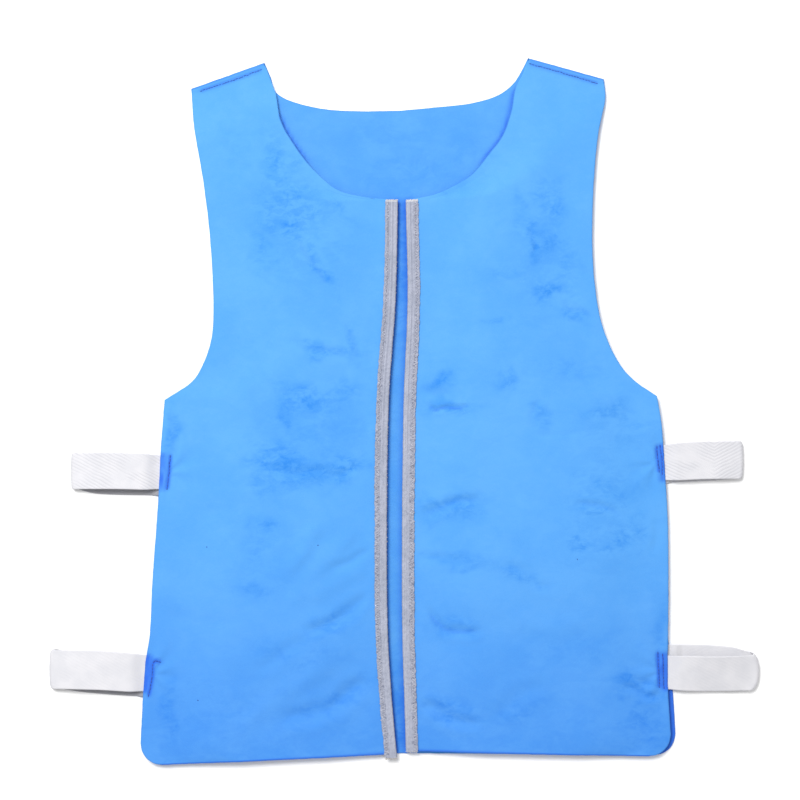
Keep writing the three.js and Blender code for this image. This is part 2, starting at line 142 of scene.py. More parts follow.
# Rows of a net, its outer edge and span, its inner edge and span
FRONT_BANDS = [
    (16, "corner", (0, 1), "centre", (0, 0.05)),
    (140, "side", (0, 1), "centre", (0.05, 0.66)),
    (90, "armhole", (0, 0.66), "centre", (0.66, 1)),
    (76, "armhole", (0.66, 1), "neck", (0, 1)),
]
BACK_BANDS = [
    (14, "corner", (0, 1), "middle", (0, 0.04)),
    (110, "side", (0, 1), "middle", (0.04, 0.56)),
    (90, "armhole", (0, 0.9), "middle", (0.56, 1)),
    (40, "armhole", (0.9, 1), "neck", (0, 1)),
]
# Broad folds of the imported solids: x, y, long, wide, high, turn, in the same shares
FOLDS = [
    (-0.22, -0.59, 0.15, 0.06, -0.6, 30), (-0.27, -0.69, 0.18, 0.07, 0.5, 30),
    (-0.32, -0.83, 0.2, 0.07, -0.7, 22), (-0.45, -0.48, 0.18, 0.07, 0.4, 62),
    (-0.62, -0.93, 0.25, 0.08, 0.5, 8), (-0.4, 0.42, 0.16, 0.07, -0.4, -58),
    (0.24, -0.63, 0.14, 0.06, -0.6, -6), (0.26, -0.87, 0.2, 0.07, -0.6, -20),
    (0.26, -0.29, 0.14, 0.06, -0.5, 14), (0.72, -0.32, 0.16, 0.07, -0.4, -20),
    (0.6, -0.92, 0.3, 0.08, 0.5, -6),
]
# name, panel, level, reach, wide, tilt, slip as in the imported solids; then how long the two layers
# stay apart, the bulge of the folded end, its corner, the twist of the front layer, the bow of its
# long edges, how much its upper edge draws in, the depth of its weave and where the weave turns
STRAPS = [
    ("upper_left", LEFT, 0.198, 0.99, 0.95, 0.03, -0.14, 6, 0.5, 3.0, -1.6, 0.8, 0, 0.055, 400),
    ("lower_left", LEFT, 0.749, 1.06, 1.02, 0.1, -0.12, 2.4, 0.8, 4.5, -1.1, 1.3, 0, 0.014, 400),
    ("upper_right", RIGHT, 0.172, 0.88, 0.99, 0.07, -0.04, 3, 0.6, 4.5, -0.3, 1.0, 0, 0.055, 62),
    ("lower_right", RIGHT, 0.743, 1.02, 1.02, 0, 0.18, 3, 3.5, 7.5, 4.2, -0.6, 0.16, 0.014, 400),
]
# Creases pressed into the cloth: points along it, half width, depth (a ridge has a depth below 0)
CREASES = [
    ([(-90, -213), (-74, -208), (-55, -201), (-40, -187), (-26, -178)], 5.0, 1.3),
    ([(-112, -294), (-84, -289), (-58, -279), (-42, -266), (-26, -260)], 6.5, 1.7),
    ([(-66, -155), (-48, -150), (-38, -145), (-26, -139)], 3.5, 0.9),
    ([(-100, -160), (-88, -136), (-74, -112)], 6.0, -0.8),
    ([(-104, -192), (-82, -165), (-58, -138), (-40, -116)], 7.0, -0.7),
    ([(-88, -186), (-66, -170), (-42, -160), (-27, -156)], 6.0, -0.6),
    ([(-130, -250), (-104, -230), (-84, -224)], 6.0, 0.6),
    ([(-150, -305), (-118, -280), (-92, -262), (-60, -240)], 8.0, -0.7),
    ([(-93, 148), (-84, 130), (-76, 120), (-67, 106)], 2.4, 0.9),
    ([(-104, 56), (-84, 48), (-62, 44), (-46, 34)], 4.0, 0.5),
    ([(-50, 70), (-42, 52), (-36, 36)], 3.0, 0.5),
    ([(-122, -62), (-100, -66), (-74, -64), (-56, -70), (-34, -58)], 3.5, 0.55),
    ([(-214, -8), (-209, -24), (-207, -44), (-210, -58)], 4.0, 0.9),
    ([(24, -191), (31, -202), (42, -211), (58, -213), (76, -211)], 3.2, 1.5),
    ([(16, -279), (30, -284), (44, -291), (76, -298)], 5.0, 1.7),
    ([(84, -292), (110, -272), (136, -262)], 7.0, 0.6),
    ([(18, -108), (34, -101), (50, -93), (74, -92)], 4.5, 1.1),
    ([(24, -5), (33, -9), (42, -6.5), (52, -8), (64, -5.5)], 1.7, 1.7),
    ([(17, 14), (32, 6), (47, 5)], 4.0, 0.7),
    ([(94, -150), (112, -156), (124, -168), (142, -172)], 4.0, 0.6),
    ([(16, -142), (32, -146), (60, -148)], 4.0, 0.6),
    ([(160, -94), (182, -97), (196, -102), (204, -108)], 2.8, 0.8),
    ([(148, 90), (158, 83), (168, 82), (178, 74)], 3.2, 0.7),
    ([(128, 2), (121, -12), (123, -28)], 2.2, 0.6),
    ([(120, -31), (146, -32), (166, -30)], 2.0, 0.35),
    ([(118, 158), (124, 146), (122, 134)], 2.0, 0.6),
    ([(206, -262), (218, -266), (228, -274), (242, -272)], 3.4, 1.3),
    ([(212, -254), (224, -260), (238, -262)], 2.6, 0.8),
    ([(236, -108), (238, -122), (236, -140)], 4.0, 0.6),
    ([(100, -200), (135, -208), (172, -204)], 8.0, -0.5),
    ([(-190, -112), (-160, -100), (-128, -104)], 7.0, 0.4),
    ([(-215, -196), (-180, -205), (-140, -198)], 8.0, 0.4),
]
# Places where the pile is brushed the other way, and one patch of painted shadow: x, y, half length, half
# width, turn, darkness
NAP_AND_SHADE = [
    (-84, 152, 46, 50, -20, 0.34), (-76, -32, 62, 46, -20, 0.34), (128, 122, 26, 62, 10, 0.28),
    (202, -36, 46, 30, 0, 0.26), (188, -122, 46, 36, 0, 0.28), (-122, -142, 34, 46, 0, 0.2),
    (205, -262, 17, 12, 20, 0.9), (214, -289, 13, 7, 60, 0.8),
    (-112, 212, 18, 32, 8, 0.7), (-100, 180, 32, 26, -30, 0.85), (-101, 165, 20, 18, 0, 1.0),
    (-76, 124, 7, 24, 26, 1.0), (-128, 140, 10, 24, 0, 0.6), (-150, 235, 14, 18, 0, 0.3),
    (-60, 178, 20, 6, -30, 0.5), (-70, 44, 34, 7, -18, 0.75), (-42, 52, 6, 18, 20, 0.7),
    (-82, 2, 34, 14, 0, 0.85), (-104, -14, 10, 16, 0, 0.8), (-50, 8, 18, 10, -10, 0.5),
    (-110, -56, 28, 15, -6, 1.0), (-50, -60, 22, 11, 20, 1.0), (-80, -68, 36, 11, 2, 0.9),
    (-122, -78, 14, 14, 0, 0.6), (-118, -116, 16, 7, 0, 0.7), (-138, -136, 12, 26, 0, 0.45),
    (-132, -172, 18, 9, 0, 0.5), (-62, -206, 26, 7, 22, 0.7), (-62, -276, 42, 12, 25, 0.6),
    # the patch at (-212, -28) is painted shadow of a fold by the left side edge
    (-165, -290, 60, 34, 0, 0.35), (-214, -290, 10, 36, 0, 0.7), (-212, -28, 6, 22, -6, 0.8),
    (-70, -318, 80, 14, 0, 0.3), (-100, -235, 60, 14, 0, 0.35),
    (34, 15, 13, 10, 0, 0.9), (45, -6, 22, 5, 0, 0.7), (98, 20, 16, 11, 0, 0.65),
    (137, 184, 15, 20, 10, 0.8), (122, 146, 8, 18, 0, 1.0), (136, 104, 18, 11, 10, 1.0),
    (140, 145, 22, 16, 0, 0.7),
    (162, 82, 15, 6, -28, 1.0), (85, 71, 10, 5, 15, 0.7), (110, 172, 6, 30, 0, 0.4),
    (150, 128, 16, 16, 0, 0.5), (130, -14, 7, 16, 14, 0.6), (190, -8, 24, 8, 4, 0.7),
    (214, -22, 16, 5, -24, 0.6), (46, -99, 32, 11, 8, 0.65), (182, -98, 22, 5, -8, 0.8),
    (170, -133, 12, 8, 0, 0.9), (200, -132, 16, 10, 30, 0.9), (222, -120, 10, 22, 0, 0.6),
    (190, -80, 34, 22, 0, 0.5), (150, 30, 30, 9, 0, 0.35), (96, 118, 22, 8, 10, 0.4),
    (56, -146, 40, 6, 0, 0.5), (112, -160, 26, 7, -20, 0.6),
    (48, -208, 26, 8, -10, 0.7), (44, -288, 34, 12, -16, 0.7), (110, -285, 40, 14, 20, 0.5),
    (226, -266, 22, 11, -12, 1.0), (226, -300, 22, 30, 0, 0.7), (240, -215, 8, 30, 0, 0.5),
    (120, -320, 90, 12, 0, 0.35), (160, -230, 70, 20, 0, 0.3),
    (-15, 245, 50, 16, 0, 0.5), (10, 212, 50, 22, 0, 0.7), (60, 232, 26, 22, 30, 0.5),
]
# Sewn rows: the cloth they lie on, their points, and the length of a stitch
SEWN = {
    "shoulder_left": ("left", [(-184.5, 284.5), (-155, 294.5), (-127, 304.8)], 2.7),
    "shoulder_right": ("right", [(119, 310.2), (150, 301.5), (183, 291.5)], 2.7),
    "tack_upper_left": ("left", [(-211.3, -50.5), (-212.4, -66), (-214.5, -83)], 3.0),
    "tack_lower_left": ("left", [(-219.5, -241.5), (-226, -240.2), (-228.2, -256), (-231.5, -273)], 3.0),
    "tack_upper_right_inner": ("right", [(236, -42), (237.5, -56), (238.5, -67)], 3.0),
    "tack_upper_right_outer": ("right", [(239.2, -41), (241.2, -54), (241.6, -69)], 3.0),
    "tack_lower_right_inner": ("right", [(237.2, -231.5), (238.2, -250), (239, -265)], 3.0),
    "tack_lower_right_outer": ("right", [(241.8, -233), (242.6, -250), (243, -266)], 3.0),
}
# Loose lint on the cloth: x, y
LINT = [(-177.6, -135.2), (-75.4, -133.4), (-185.8, -276), (162.8, -146.3)]


def ease(t):
    t = np.clip(t, 0, 1)
    return t * t * (3 - 2 * t)


def mix(a, b, t):
    return a + (b - a) * t


def bell(t, power=2):
    """1 where t is 0, falling to 0 on both sides of it."""
    return np.exp(-(np.abs(t) ** power))


def faded(share, steep, least):
    """1 along the middle of a line, falling towards both of its ends."""
    return ease(np.minimum(share, 1 - share) * steep + least)


def run_of(line):
    """How far along a polyline each of its points lies."""
    return np.concatenate([[0], np.cumsum(np.linalg.norm(np.diff(line, axis=0), axis=1))])


def turned(x, y, middle, turn, long, wide):
    """A place as shares of a patch's half length and half width, along the patch's own directions."""
    c, s = math.cos(math.radians(turn)), math.sin(math.radians(turn))
    dx, dy = x - middle[0], y - middle[1]
    return (dx * c + dy * s) / long, (dy * c - dx * s) / wide


def curve(points):
    """A centripetal Catmull-Rom curve through flat points, as a fine polyline."""
    p = np.array(points, float)
    p = np.vstack([2 * p[0] - p[1], p, 2 * p[-1] - p[-2]])
    u = np.linspace(0, 1, 32, endpoint=False)[:, None]
    spans = []
    for a, b, c, d in zip(p, p[1:], p[2:], p[3:]):
        k = [max(np.linalg.norm(q - r), 1e-4) ** 0.5 for q, r in ((b, a), (c, b), (d, c))]
        s = ((b - a) / k[0] - (c - a) / (k[0] + k[1]) + (c - b) / k[1]) * k[1]
        e = ((c - b) / k[1] - (d - b) / (k[1] + k[2]) + (d - c) / k[2]) * k[1]
        spans.append(b + s * u + (3 * (c - b) - 2 * s - e) * u**2 + (2 * (b - c) + s + e) * u**3)
    return np.vstack([*spans, p[-2:-1]])


def along(line, shares):
    """Points at shares of a polyline's length."""
    line = np.asarray(line, float)
    run = run_of(line)
    return np.column_stack([np.interp(np.asarray(shares) * run[-1], run, c) for c in line.T])


def length_of(line):
    return float(np.linalg.norm(np.diff(np.asarray(line, float), axis=0), axis=1).sum())


def noise(x, y, size, seed):
    """Smooth random hills between -1 and 1, about size apart."""
    table = np.random.default_rng(seed).uniform(-1, 1, (NOISE_CELLS, NOISE_CELLS))
    u, v = np.asarray(x) / size + 900.37, np.asarray(y) / size + 900.61
    i, j = np.floor(u).astype(int), np.floor(v).astype(int)
    s, t = ease(u - i), ease(v - j)

    def at(m, n):
        return table[(i + m) % NOISE_CELLS, (j + n) % NOISE_CELLS]

    return mix(mix(at(0, 0), at(1, 0), s), mix(at(0, 1), at(1, 1), s), t)


def away_from(x, y, points):
    """Distance from (x, y) to a polyline, and the share of its length at the nearest point."""
    line = curve(points)[::4] if len(points) > 2 else np.array(points, float)
    best, share = np.full(np.shape(x), np.inf), np.zeros(np.shape(x))
    total, done = length_of(line), 0.0
    for (ax, ay), (bx, by) in zip(line, line[1:]):
        d = math.hypot(bx - ax, by - ay)
        t = np.clip(((x - ax) * (bx - ax) + (y - ay) * (by - ay)) / max(d * d, 1e-9), 0, 1)
        r = np.hypot(x - ax - t * (bx - ax), y - ay - t * (by - ay))
        near = r < best
        best = np.where(near, r, best)
        share = np.where(near, (done + t * d) / total, share)
        done += d
    return best, share


def side_point(panel, key):
    return [panel["sign"] * key[0] * HALF_WIDTH, (key[1] - 1) * SIDE_LENGTH]


def front_edges(panel):
    """The edges of a front panel as lists of points, each from its lower end to its upper end."""
    sign = panel["sign"]
    tip = side_point(panel, (panel["corner"], panel["hem"]))
    turns = [t * math.pi / 8 for t in range(5)]
    corner = [
        [tip[0] - sign * HEM_CORNER * (1 - math.sin(a)), tip[1] + HEM_CORNER * (1 - math.cos(a))]
        for a in turns
    ]
    centre = [
        [sign * (o * CENTRE_GAP + TAPE_SHELL), mix(FRONT_HEM, NECK_BASE, u)] for o, u in panel["centre"]
    ]
    neck = [[sign * o * NECK_HALF_WIDTH, NECK_BASE + u * NECK_DEPTH] for o, u in panel["neck"]]
    return {
        "corner": corner,
        "side": [corner[-1]] + [side_point(panel, k) for k in panel["side"]],
        "armhole": [[sign * o * HALF_WIDTH, u * ARMHOLE_DEPTH] for o, u in panel["armhole"]],
        "centre": centre,
        "neck": [centre[-1]] + neck,
    }


def back_edges(panel):
    """The edges of one half of the back panel."""
    sign, front = panel["sign"], front_edges(panel)
    level = [s for s in STRAPS if s[1] is panel][-1][2]

    def shown_or_tucked(p):
        above = (p[1] + level * SIDE_LENGTH + STRAP_WIDTH / 2) / STRAP_WIDTH
        return [p[0] + sign * mix(panel["back_out"], -BACK_TUCK, float(ease(above))), p[1]]

    last = len(front["armhole"]) - 1
    neck = [
        [sign * o * NECK_HALF_WIDTH, BACK_NECK_BASE + u * BACK_NECK_DEPTH] for o, u in panel["back_neck"]
    ]
    tucks = [sign * BACK_TUCK * (1 - i / last) for i in range(last + 1)]
    return {
        "corner": [shown_or_tucked(p) for p in front["corner"]],
        "side": [shown_or_tucked(p) for p in front["side"]],
        "armhole": [[p[0] - tuck, p[1]] for p, tuck in zip(front["armhole"], tucks)],
        "middle": [[0, FRONT_HEM], [0, BACK_NECK_BASE]],
        "neck": [[0, BACK_NECK_BASE]] + neck,
    }


def pairs_of(edges, bands):
    """Outer and inner points of a net's rows, from the hem to the shoulder."""
    outer, inner = [], []
    for i, (rows, out_name, out_span, in_name, in_span) in enumerate(bands):
        t = np.arange(0 if i == 0 else 1, rows + 1) / rows
        outer.append(along(curve(edges[out_name]), mix(*out_span, t)))
        inner.append(along(curve(edges[in_name]), mix(*in_span, t)))
    return np.vstack(outer), np.vstack(inner)


def net_of(pairs, columns, crowding):
    """Rows by columns of flat points, closer together towards both ends of a row."""
    outer, inner = pairs
    t = np.linspace(0, 1, columns + 1)
    t = mix(t, 0.5 - 0.5 * np.cos(np.pi * t), crowding)[None, :, None]
    return outer[:, None, :] * (1 - t) + inner[:, None, :] * t


def placed(name, data):
    made = bpy.data.objects.new(name, data)
    bpy.context.scene.collection.objects.link(made)
    return made


def make_object(name, verts, faces, marks, material):
    """A mesh object in metres from millimetres, with marks of one or three numbers a point."""
    mesh = bpy.data.meshes.new(name)
    mesh.from_pydata((np.asarray(verts) * MM).tolist(), [], [list(map(int, f)) for f in faces])
    mesh.update()
    for key, values in marks.items():
        values = np.asarray(values, np.float32)
        kind = "FLOAT" if values.ndim == 1 else "FLOAT_VECTOR"
        layer = mesh.attributes.new(key, kind, "POINT")
        layer.data.foreach_set("value" if values.ndim == 1 else "vector", values.ravel())
    mesh.shade_smooth()
    mesh.materials.append(material)
    made = placed(name, mesh)
    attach(made, "root")
    return made


def faces_between(left, right):
    """Quads between two columns, or sets of columns, of point numbers."""
    return np.stack([left[:-1], right[:-1], right[1:], left[1:]], -1).reshape(-1, 4)


def make_room(flat, loop, room, reach):
    """Draw the inner points of a net away from its border, so that a rim of that radius fits."""
    border = np.vstack([flat[loop], flat[loop[:1]]])
    dense = along(border, np.linspace(0, 1, 4 * int(length_of(border))))
    tree = KDTree(len(dense))
    for i, (x, y) in enumerate(dense):
        tree.insert((x, y, 0), i)
    tree.balance()
    moved = flat.copy()
    for i in np.setdiff1d(np.arange(len(flat)), loop):
        nearest, _, gap = tree.find((*flat[i], 0))
        if gap < reach:
            direction = (flat[i] - nearest[:2]) / max(gap, 1e-6)
            moved[i] = nearest[:2] + direction * (room + gap * (1 - room / reach))
    return moved


def sides_of(quads):
    """Each quad's four sides, as pairs of point numbers."""
    return np.concatenate([quads[:, [k, (k + 1) % 4]] for k in range(4)])


def untangled(flat, quads, loop, rounds=40):
    """Ease the inner points of faces that fold over to the middle of their neighbours."""
    edges = np.unique(np.sort(sides_of(quads), axis=1), axis=0)
    count = np.bincount(edges.ravel(), minlength=len(flat))[:, None]
    for _ in range(rounds):
        sides = [flat[quads[:, (k + 1) % 4]] - flat[quads[:, k]] for k in range(4)]
        turns = np.min([np.cross(sides[k], sides[(k + 1) % 4]) for k in range(4)], axis=0)
        loose = np.zeros(len(flat), bool)
        loose[quads[turns < 0.01]] = True
        if not loose.any():
            break
        loose[quads[loose[quads].any(axis=1)]] = True
        loose[loop] = False
        total = np.zeros_like(flat)
        np.add.at(total, edges[:, 0], flat[edges[:, 1]])
        np.add.at(total, edges[:, 1], flat[edges[:, 0]])
        flat[loose] = (total / count)[loose]
    return flat


def thick_cloth(name, flat, quads, low, high, marks, material, rings=5):
    """A cloth with rounded cut edges, from a flat net and the heights of its two faces."""
    a, b, c = (flat[quads[:, k]] for k in (0, 1, 2))
    if np.cross(b - a, c - b).sum() < 0:
        quads = quads[:, ::-1]
    known = set(map(tuple, sides_of(quads).tolist()))
    following = {p: q for p, q in known if (q, p) not in known}
    loop = [next(iter(sorted(following)))]
    while following[loop[-1]] != loop[0]:
        loop.append(following[loop[-1]])
    loop = np.array(loop)
    rim = flat[loop]
    run = np.roll(rim, -1, 0) - np.roll(rim, 1, 0)
    run /= np.linalg.norm(run, axis=1)[:, None]
    out = np.column_stack([run[:, 1], -run[:, 0]])
    radius = (high - low)[loop] / 2
    rim = rim + out * noise(rim[:, 0], rim[:, 1], 4.0, 5)[:, None] * CUT_WAVER
    flat = make_room(flat, loop, RIM_ROOM, RIM_REACH)
    flat[loop] = rim - out * radius[:, None]
    flat = untangled(flat, quads, loop)
    count, size = len(flat), len(loop)
    verts = [np.column_stack([flat, high]), np.column_stack([flat, low])]
    middle = (high + low)[loop] / 2
    for k in range(1, rings):
        turn = math.pi * k / rings
        place = rim + out * (radius * (math.sin(turn) - 1))[:, None]
        verts.append(np.column_stack([place, middle + radius * math.cos(turn)]))
    faces = [quads, quads[:, ::-1] + count]
    between = [2 * count + k * size + np.arange(size) for k in range(rings - 1)]
    ring = [loop, *between, loop + count]
    for upper, lower in zip(ring, ring[1:]):
        faces.append(np.column_stack([upper, lower, np.roll(lower, -1), np.roll(upper, -1)]))
    whole = {k: np.concatenate([v, v] + [v[loop]] * (rings - 1)) for k, v in marks.items()}
    rim_tone = marks["edge"][loop]
    whole["edge"] = np.concatenate([np.zeros(2 * count), np.tile(rim_tone, rings - 1)])
    whole["edge"][loop] = whole["edge"][loop + count] = 0.5 * rim_tone
    return make_object(name, np.vstack(verts), np.vstack(faces), whole, material)


def fold_height(x, y):
    total = np.zeros(np.shape(x))
    for fx, fy, long, wide, high, turn in FOLDS:
        middle = (fx * HALF_WIDTH, fy * SIDE_LENGTH)
        u, v = turned(x, y, middle, turn, long * HALF_WIDTH, wide * HALF_WIDTH)
        total += high * CLOTH * np.exp(-u * u - v * v)
    return total


def relief(x, y):
    """Small folds, dents and puckers of the front panels."""
    total = 0.45 * noise(x, y, 46, 11) + 0.22 * noise(x + 0.6 * y, y, 19, 12)
    wander = 2.2 * noise(x, y, 16, 13)
    for points, half, depth in CREASES:
        d, share = away_from(x + wander, y + 2.2 * noise(x, y, 15, 14), points)
        ridged = bell(d / half) - 0.35 * bell(d / half - 1.9)
        total -= 0.95 * depth * faded(share, 5, 0.15) * ridged
    return total


def crease_shade(x, y):
    """Painted shade along the bottoms of the deeper creases."""
    total = np.zeros(np.shape(x))
    for points, half, depth in CREASES:
        if depth < 0.5:
            continue
        d, share = away_from(x, y, points)
        dark = min(depth, 1.7) ** 2 * (0.17 if half < 3.3 else 0.07)
        total = np.maximum(total, dark * faded(share, 4, 0.1) * bell(d / (0.62 * half)))
    return total


def nap_and_shade_mask(x, y):
    """How dark the brushed pile is, with ragged borders round its patches, over painted shade that darkens
    the cloth towards the hem.
    """
    # painted shade: darker towards the hem, where less light reaches the cloth
    total = 0.3 * ease((-190 - y) / 140) * np.ones(np.shape(x))
    aside = 7 * noise(x, y, 17, 71) + 3 * noise(x, y, 6, 72)
    upward = 7 * noise(x, y, 15, 73) + 3 * noise(x, y, 5, 74)
    for nx, ny, long, wide, turn, dark in NAP_AND_SHADE:
        u, v = turned(x + aside, y + upward, (nx, ny), turn, long, wide)
        total = np.maximum(total, dark * bell(u * u + v * v, 1.3))
    return np.clip(total, 0, 1)


def pressed(which, x, y):
    """The groove of each sewn row on a cloth, and how much the cloth beside it is darkened, as pressed pile
    and painted shade.
    """
    groove, press = np.zeros(np.shape(x)), np.zeros(np.shape(x))
    for name, (cloth, points, _) in SEWN.items():
        if cloth != which:
            continue
        d, share = away_from(x, y, points)
        inside = faded(share, 14, 0.3)
        groove -= 0.75 * bell(d / 1.15) * inside
        weight = 0.5 if name.startswith("shoulder") else 1
        press = np.maximum(press, weight * bell(d / 2.1) * inside)
    return groove, press


def centre_rise(panel):
    return TAPE_THICKNESS + 2 * SEAT + panel["lift"] * CENTRE_SLACK


def front_panel(which, panel, material):
    """A front panel as a cloth, and the end points of the rows of its net."""
    pairs = pairs_of(front_edges(panel), FRONT_BANDS)
    net = net_of(pairs, FRONT_COLUMNS, 0.5)
    x, y = net[..., 0], net[..., 1]
    ends = (net[:, :1], net[:, -1:], net[-1:], net[:1])
    to_side, to_centre, to_seam, to_hem = (np.hypot(x - p[..., 0], y - p[..., 1]) for p in ends)
    past_side, past_centre = to_side - SIDE_MARGIN, to_centre - CENTRE_MARGIN
    side_drop = (BODY_RISE - SIDE_RISE) * (1 - ease(past_side / EDGE_BLEND))
    centre_drop = (BODY_RISE - centre_rise(panel)) * (1 - ease(past_centre / EDGE_BLEND))
    folds = fold_height(x, y) * ease(past_side / FOLD_FADE) * ease(past_centre / FOLD_FADE)
    low = CLOTH + SEAT + (BODY_RISE + folds - side_drop - centre_drop) * ease(to_seam / SEAM_BLEND)

    free = ease((past_centre + TAPE_MARGIN) / 9) * ease(to_seam / 30)
    levels = {s[0]: -s[2] * SIDE_LENGTH for s in STRAPS if s[1] is panel}
    sewn_down = np.clip(sum(bell((y - level) / 24) for level in levels.values()), 0, 1)
    wave = 0.55 * noise(x, y, 38, 21 + panel["sign"]) * (1 - ease(to_side / 30)) * (1 - 0.9 * sewn_down)
    low = low + (relief(x, y) * ease(to_side / 14) + wave) * free

    # Cloth that the tacks of the straps and the shoulder seam draw in
    groove, press = pressed(which, x, y)
    seam = bell((to_seam - 2.6) / 2.2)
    pucker = np.zeros_like(x)
    for name, level in levels.items():
        d = np.hypot(to_side - 14, (y - level) * 0.55)
        angle = np.arctan2(y - level, to_side - 8)
        pucker += 0.75 * np.sin(angle * 6 + 1.3 * level) * bell(d / 17) * ease(to_side / 8)
        inside = 20 - np.abs(y - level)
        strip = ease((9 - to_side) / 4) * ease(inside / 6)
        lip = bell(to_side / 4.6, 4) * ease(inside / 5)
        deep = 1.1 if name in ("upper_left", "lower_right") else 0.65
        # painted shade: the strip and lip beside each tack are darkened where the curled edge shades the
        # cloth
        press = np.maximum(press, deep * strip * (0.7 + 0.4 * noise(x, y, 9, 31)))
        press = np.maximum(press, 0.95 * lip * (0.8 + 0.4 * noise(x, y, 11, 33)))
        pucker += 0.35 * strip * noise(x, y, 7, 32) - 0.8 * lip * (0.6 + noise(x, y, 12, 34))
    low = np.maximum(low + pucker, CLOTH + SEAT)
    high = low + CLOTH + groove + 0.45 * seam

    # painted shade along the shoulder seam band, and a darker line along the hem
    press = press + 0.1 * seam + 0.6 * bell(to_hem / 1.6) + 0.2 * bell(to_seam / 1.2)
    # painted shade: darker towards the hem, where less light reaches the cloth
    press = press + 0.25 * ease((-80 - y) / 240)
    # painted shadow: the rim darkens along the sides of the neckline, and beside the tacks where the edge
    # curls
    high_end, low_end = (268, 206) if panel is LEFT else (296, 196)
    neckline_shadow = bell(to_centre / 2) * ease((high_end - y) / 10) * ease((y - low_end) / 14)
    rim = 0.18 - 0.16 * ease((y - 170) / 10) * ease((to_side - 25) / 10) + 0.95 * neckline_shadow
    rim = rim + 0.5 * bell(to_hem / 3) + 0.8 * bell(to_seam / 3) + 0.4 * sewn_down
    marks = {
        "nap": nap_and_shade_mask(x, y).ravel(),
        "press": np.clip(np.maximum(press, crease_shade(x, y) * free), 0, 1).ravel(),
        "edge": np.clip(rim, 0, 1).ravel(),
    }
    ids = np.arange(x.size).reshape(x.shape)
    quads = faces_between(ids[:, :-1], ids[:, 1:])
    heights = low.ravel(), high.ravel()
    return thick_cloth(f"front_cloth_{which}", net.reshape(-1, 2), quads, *heights, marks, material), pairs


def back_panel(material):
    """The back panel as one cloth, from the nets of its two halves."""
    points, quads, numbers = [], [], {}
    for panel in (LEFT, RIGHT):
        net = net_of(pairs_of(back_edges(panel), BACK_BANDS), BACK_COLUMNS, 0.62)
        if panel["sign"] > 0:
            net = net[:, ::-1]
        ids = np.empty(net.shape[:2], int)
        for i, j in np.ndindex(ids.shape):
            key = (round(net[i, j, 0], 2), round(net[i, j, 1], 2))
            if key not in numbers:
                numbers[key] = len(points)
                points.append(net[i, j])
            ids[i, j] = numbers[key]
        quads.append(faces_between(ids[:, :-1], ids[:, 1:]))
    flat, quads = np.array(points), np.vstack(quads)
    x, y = flat.T
    under = np.zeros(len(x))
    # painted shadow on the back cloth just past the sides of the front necklines
    for panel, high_end, low_end in ((LEFT, 268, 214), (RIGHT, 292, 212)):
        d, _ = away_from(x, y, front_edges(panel)["neck"])
        shown = ease((high_end - y) / 12) * ease((y - low_end) / 14)
        under = np.maximum(under, bell(d / 2.1) * shown)
    to_left, to_right = (away_from(x, y, front_edges(p)["centre"])[0] for p in (LEFT, RIGHT))
    # painted shadow: a thin dark line beside the left tape and a broader band beside the right tape
    beside = np.maximum(0.9 * bell(to_left / 2.4), 0.5 * bell(to_right / 4.4)) * ease((188 - y) / 6)
    # painted shade in the centre gap between the tapes, stronger towards its top and bottom
    gap = ease((16 - np.abs(x)) / 8) * ease((190 - y) / 10)
    gap = gap * (0.2 + 0.6 * ease((y - 20) / 120) + 0.6 * ease((-220 - y) / 80))
    # darker where the back cloth shows at the lower right corner
    corner = ease((x - 215) / 12) * ease((-220 - y) / 15)
    low = 0.28 * (1 + noise(x, y, 42, 41)) * ease((y - 200) / 40) + 0.05
    high = low + CLOTH - 0.05
    # painted shade: the back cloth is darker towards the neck, a little darker all over, and darker still in
    # the gap
    press = 0.12 * ease((y - 150) / 40) + 0.75 * under + beside + 0.35 * gap + 0.95 * corner
    marks = {
        "nap": np.clip(nap_and_shade_mask(x, y) * 0.4 + 0.08 + gap, 0, 1),
        "press": np.clip(press, 0, 1),
        "edge": np.full(len(x), 0.45),
    }
    return thick_cloth("back_cloth", flat, quads, low, high, marks, material)


def swept(name, rings, marks, material, turned_caps):
    """Rings of points, each there and back along a flat section, joined and closed at both ends."""
    count, size = len(rings), len(rings[0])
    n = np.arange(count * size).reshape(count, size)
    caps = [np.array([k, k + 1, size - 2 - k, size - 1 - k]) for k in range(size // 2 - 1)]
    if turned_caps:
        caps = [c[::-1] for c in caps]
    faces = [*faces_between(n, np.roll(n, -1, 1)), *[c[::-1] for c in caps]]
    faces += [c + (count - 1) * size for c in caps]
    return make_object(name, np.vstack(rings), faces, marks, material)


